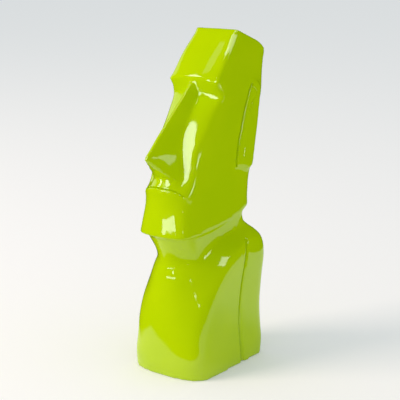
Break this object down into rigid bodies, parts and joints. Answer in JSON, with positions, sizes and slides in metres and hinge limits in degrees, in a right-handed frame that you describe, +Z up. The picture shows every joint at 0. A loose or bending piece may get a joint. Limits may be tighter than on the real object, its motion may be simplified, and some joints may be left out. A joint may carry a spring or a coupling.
{
  "type": "moai head statue",
  "caption": "Free-standing ornament: a long stylised stone-head figure with heavy brow, wedge nose, slab ears and a bust, cast in one piece with a flat foot and a gloss coat.",
  "frame": {"origin": "on the standing surface, under the middle of the outer box", "axes": "+Z up; the figure faces -Y; +X is towards its left ear"},
  "size_m": [0.161, 0.2812, 0.6013],
  "materials": {
    "lacquer": "high gloss lime green lacquer over a smooth casting"
  },
  "bodies": {
    "root": {"moai_statue": "lacquer"}
  },
  "joints": []
}
